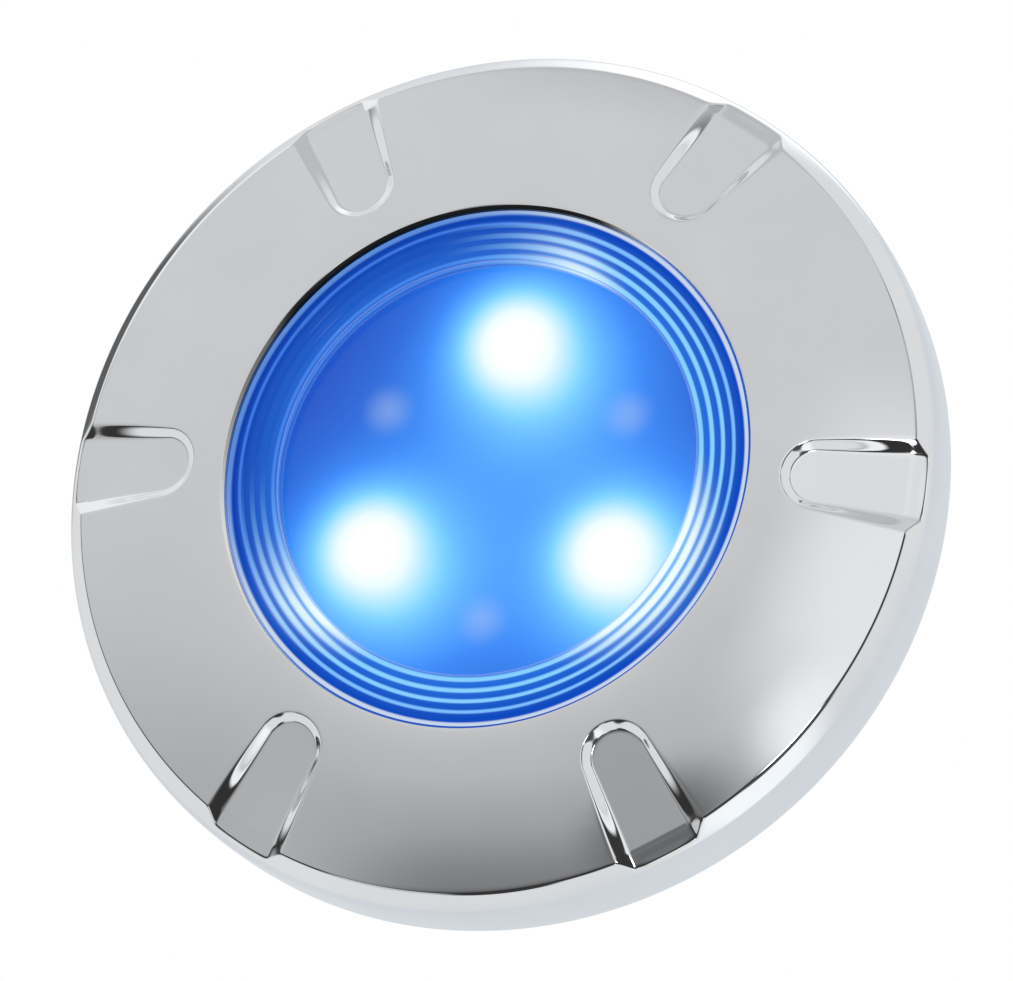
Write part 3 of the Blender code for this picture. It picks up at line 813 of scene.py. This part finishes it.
def dress_cad_nodes():
    """Gives every carried-over CAD node its finish by the record's slot, and smooth shading."""
    finishes = {
        "seal_rubber": moulded_material("rubber_black", (0.03, 0.03, 0.033), 600.0, (0.6, 0.75)),
        "body_plastic": moulded_material("pod_plastic", (0.74, 0.75, 0.76)),
        "adapter_plastic": moulded_material("adapter_plastic_white", (0.82, 0.83, 0.84)),
        "screw_steel": metal_material("screw_stainless", (0.62, 0.62, 0.60)),
        "aluminium": metal_material("spreader_aluminium", (0.75, 0.76, 0.77)),
        "board_mask": moulded_material("board_white_mask", (0.85, 0.86, 0.88)),
        "reflector_white": moulded_material("reflector_moulding", (0.9, 0.91, 0.92)),
        "main_led": moulded_material("led_dome_blue", (0.75, 0.9, 1.0), 200.0, (0.1, 0.2)),
        "white_led": moulded_material("led_dome_white", (0.95, 0.9, 0.6), 200.0, (0.1, 0.2)),
        "driver_mask": moulded_material("driver_green_mask", (0.05, 0.25, 0.12)),
        "component_black": moulded_material("component_moulding", (0.03, 0.03, 0.03)),
        "capacitor_sleeve": moulded_material("capacitor_film", (0.08, 0.12, 0.3), 200.0, (0.25, 0.35)),
        "gland_metal": metal_material("gland_nickel", (0.7, 0.7, 0.68)),
    }
    slots = {s["node"]: s["material_slot"] for s in frame["record"]["subparts"]}
    for name, obj in frame["nodes"].items():
        if slots[name] in finishes:
            obj.data.materials.clear()
            obj.data.materials.append(finishes[slots[name]])
            obj.data.shade_smooth()
            obj.data.set_sharp_from_angle(angle=math.radians(SHARP_DEGREES))
    return finishes


# The studio. A spot is (brightness, (azimuth, elevation), inner angle, outer angle), in degrees.

RISE = (  # brightness in front of the light by the sine of the elevation
    (-1.0, 0.04), (-0.64, 0.05), (-0.42, 0.15), (-0.31, 0.27), (-0.24, 0.39), (-0.17, 0.45),
    (-0.09, 0.52), (0.0, 0.55), (0.17, 0.61), (0.34, 0.66), (0.50, 0.67), (1.0, 0.68),
)
FRONT = (-18.7, 17.5)  # azimuth and elevation that the flat middle of the face mirrors to the camera
FRONT_SPOTS = (  # what the face mirrors
    (0.47, (-45.0, -18.0), 5.0, 25.0), (0.16, (2.0, -16.0), 3.0, 10.0),
    (0.88, (22.0, 8.0), 6.0, 24.0), (0.96, (15.5, -5.0), 2.0, 9.0),
)
GAP = ((0.0, 0.03), (0.62, 0.04), (0.75, 0.45))  # the dark gap round that, by height from 0 to 1
GAP_START = (48.0, 53.0)  # degrees from the front where the gap comes in
GAP_END = (61.0, 71.0)  # and where it goes over to the back of the studio
GAP_SPOTS = ((0.08, (50.0, 50.0), 4.0, 12.0), (1.0, (20.0, -42.0), 3.0, 7.0), (1.0, (51.0, 17.0), 3.0, 8.0))
LOW_RIGHT = (90.0, -50.0)  # the side where the gap is widest
LOW_RIGHT_EXTRA = 10.0  # by this many degrees
BEHIND = (88.0, 106.0)  # degrees from the front between which the back cools and dims a little
BACK_LEVELS = (0.80, 0.74)
BACK_SPOTS = (  # what the ring's bevel and skirt mirror
    (0.55, (-18.0, 72.0), 12.0, 26.0), (1.2, (180.0, 65.0), 10.0, 25.0),
    (1.05, (60.0, -42.0), 8.0, 22.0), (0.12, (-123.0, 26.0), 6.0, 15.0),
)
GRIP_SPOTS = (  # what the walls of the grips mirror; the last is the flash on their edges
    (0.04, (-16.0, -57.0), 7.0, 11.0), (0.08, (48.0, -28.0), 9.0, 13.0), (0.60, (-38.0, -43.0), 7.0, 11.0),
    (0.66, (32.0, 52.0), 6.0, 12.0), (0.95, (-84.0, 40.0), 10.0, 16.0), (7.0, (24.5, -15.0), 2.5, 6.5),
)


def direction(azimuth, elevation):
    """Unit vector from an azimuth (0 in front, 90 at the right) and an elevation in degrees."""
    across = math.cos(math.radians(elevation))
    turn = math.radians(azimuth)
    return (math.sin(turn) * across, -math.cos(turn) * across, math.sin(math.radians(elevation)))


class Sky(Nodes):
    """The studio as a world: every part is a soft function of the direction."""

    def __init__(self):
        self.world = bpy.data.worlds.new("studio")
        self.world.use_nodes = True
        self.tree = self.world.node_tree
        self.background = self.tree.nodes["Background"]
        self.way = self.add("ShaderNodeTexCoord").outputs["Generated"]

    def along(self, azimuth, elevation):
        """Cosine of the angle between the view and a direction."""
        dot = self.add("ShaderNodeVectorMath", operation="DOT_PRODUCT")
        self.link(self.way, dot.inputs[0])
        dot.inputs[1].default_value = direction(azimuth, elevation)
        return dot.outputs["Value"]

    def away(self, azimuth, elevation):
        """Angle in degrees between the view and a direction."""
        return self.math("DEGREES", self.math("ARCCOSINE", self.along(azimuth, elevation)))

    def blend(self, bright, level, share):
        """Moves the brightness towards a level by a share."""
        keep = self.math("SUBTRACT", 1.0, share)
        return self.math("ADD", self.math("MULTIPLY", bright, keep), self.math("MULTIPLY", share, level))

    def with_spots(self, bright, spots):
        """Moves the brightness to each spot's level, wholly inside its inner angle."""
        for level, place, inner, outer in spots:
            bright = self.blend(bright, level, self.smooth(self.away(*place), outer, inner))
        return bright


def make_world():
    """A soft studio: pale above and in front, dark low in front, a dark gap round that, white behind it."""
    sky = Sky()
    bpy.context.scene.world = sky.world
    split = sky.add("ShaderNodeSeparateXYZ")
    sky.link(sky.way, split.inputs["Vector"])
    rise = sky.spread(split.outputs["Z"], -1.0, 1.0)
    bright = sky.ramp(rise, [((z + 1) / 2, grey(level)) for z, level in RISE])
    bright = sky.with_spots(bright, FRONT_SPOTS)
    off_front = sky.away(*FRONT)
    shifted = sky.math("SUBTRACT", off_front, sky.math("MULTIPLY", sky.along(*LOW_RIGHT), LOW_RIGHT_EXTRA))
    gap = sky.ramp(rise, [(at, grey(level)) for at, level in GAP])
    bright = sky.blend(bright, gap, sky.smooth(off_front, *GAP_START))
    bright = sky.with_spots(bright, GAP_SPOTS)
    behind = sky.smooth(off_front, *BEHIND)
    back = sky.spread(behind, 0.0, 1.0, *BACK_LEVELS)
    bright = sky.blend(bright, back, sky.smooth(shifted, *GAP_END))
    bright = sky.with_spots(bright, BACK_SPOTS)
    bright = sky.with_spots(bright, GRIP_SPOTS)
    tint = sky.add("ShaderNodeMix", data_type="RGBA", blend_type="MULTIPLY")
    tint.inputs["Factor"].default_value = 1.0
    sky.link(bright, tint.inputs["A"])
    sky.link(sky.ramp(behind, [(0.0, (0.985, 0.99, 1.0)), (1.0, (0.95, 1.0, 1.04))]), tint.inputs["B"])
    seen_directly = sky.add("ShaderNodeLightPath").outputs["Is Camera Ray"]
    backdrop = sky.mix(seen_directly, tint.outputs["Result"], grey(1.0))
    sky.link(backdrop, sky.background.inputs["Color"])


FLOOR_HEIGHT = -3.6  # metres
FLOOR_HALF = 30.0


def make_floor():
    """A plain pale floor, far enough below for views from under the light."""
    bm = bmesh.new()
    bmesh.ops.create_grid(bm, x_segments=1, y_segments=1, size=FLOOR_HALF)
    made = Nodes("floor_pale")
    made.set(Roughness=0.9)
    shade = made.ramp(made.noise(0.6, 2.0), [(0.3, (0.86, 0.86, 0.87)), (0.7, (0.88, 0.88, 0.89))])
    made.link(shade, made.shader.inputs["Base Color"])
    floor = finish_mesh("floor", bm, made.material)
    floor.location.z = FLOOR_HEIGHT
    floor.visible_glossy = False


BACK_LIGHT_AT = (-0.7, 0.9, 0.9)
BACK_LIGHT_SIZE = 0.5  # metres
BACK_LIGHT_POWER = 7.0  # watts


def make_back_light():
    """One soft light high behind the part. It shapes the moulded back and stays out of the chrome."""
    data = bpy.data.lights.new("back_light", "AREA")
    data.size = BACK_LIGHT_SIZE
    data.energy = BACK_LIGHT_POWER
    light = bpy.data.objects.new("back_light", data)
    light.location = BACK_LIGHT_AT
    light.rotation_euler = (-light.location).to_track_quat("-Z", "Y").to_euler()
    light.visible_glossy = False
    light.visible_camera = False
    bpy.context.scene.collection.objects.link(light)


CAMERA_AZIMUTH = 19.013  # degrees
CAMERA_ELEVATION = -17.5
CAMERA_ROLL = 7.05
CAMERA_DISTANCE = 34.3  # in ring units
CAMERA_LENS = 532.8  # millimetres, for the sensor's width
SENSOR_WIDTH = 36.0
FRAME_OFFSET = (-0.026, 0.031)  # of the ring's centre from the picture's, in ring units


def make_camera():
    """A long lens from low on the right, about 26 degrees off the ring's axis and rolled a little."""
    back = Vector(direction(CAMERA_AZIMUTH, CAMERA_ELEVATION))
    level_right = Vector((0, 0, 1)).cross(back).normalized()
    level_up = back.cross(level_right)
    roll = math.radians(CAMERA_ROLL)
    up = level_up * math.cos(roll) - level_right * math.sin(roll)
    right = up.cross(back)
    centre = Vector((0, -EDGE_H, 0))
    shift = right * FRAME_OFFSET[0] + up * FRAME_OFFSET[1]
    data = bpy.data.cameras.new("camera")
    data.sensor_width = SENSOR_WIDTH
    data.lens = CAMERA_LENS
    data.clip_end = 100.0
    camera = bpy.data.objects.new("camera", data)
    turn = Matrix((right, up, back)).transposed().to_4x4()
    place = centre - shift * FACE_R + back * CAMERA_DISTANCE * FACE_R
    camera.matrix_world = Matrix.Translation(place) @ turn
    bpy.context.scene.collection.objects.link(camera)
    bpy.context.scene.camera = camera


def main():
    bpy.context.scene.view_settings.view_transform = "Standard"
    make_camera()
    make_world()
    make_floor()
    make_back_light()
    finishes = dress_cad_nodes()
    adapter = make_wall_adapter(finishes["adapter_plastic"])
    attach(adapter, "wall_mount")
    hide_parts("wall_adapter")
    ring = make_face_ring()
    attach(ring, "ring")
    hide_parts("face_ring")
    lens = make_lens()
    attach(lens, "light")
    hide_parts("lens")
    diffuser = frame["nodes"]["diffuser"]
    diffuser.data.materials.clear()
    diffuser.data.materials.append(painted_glow_material())


main()
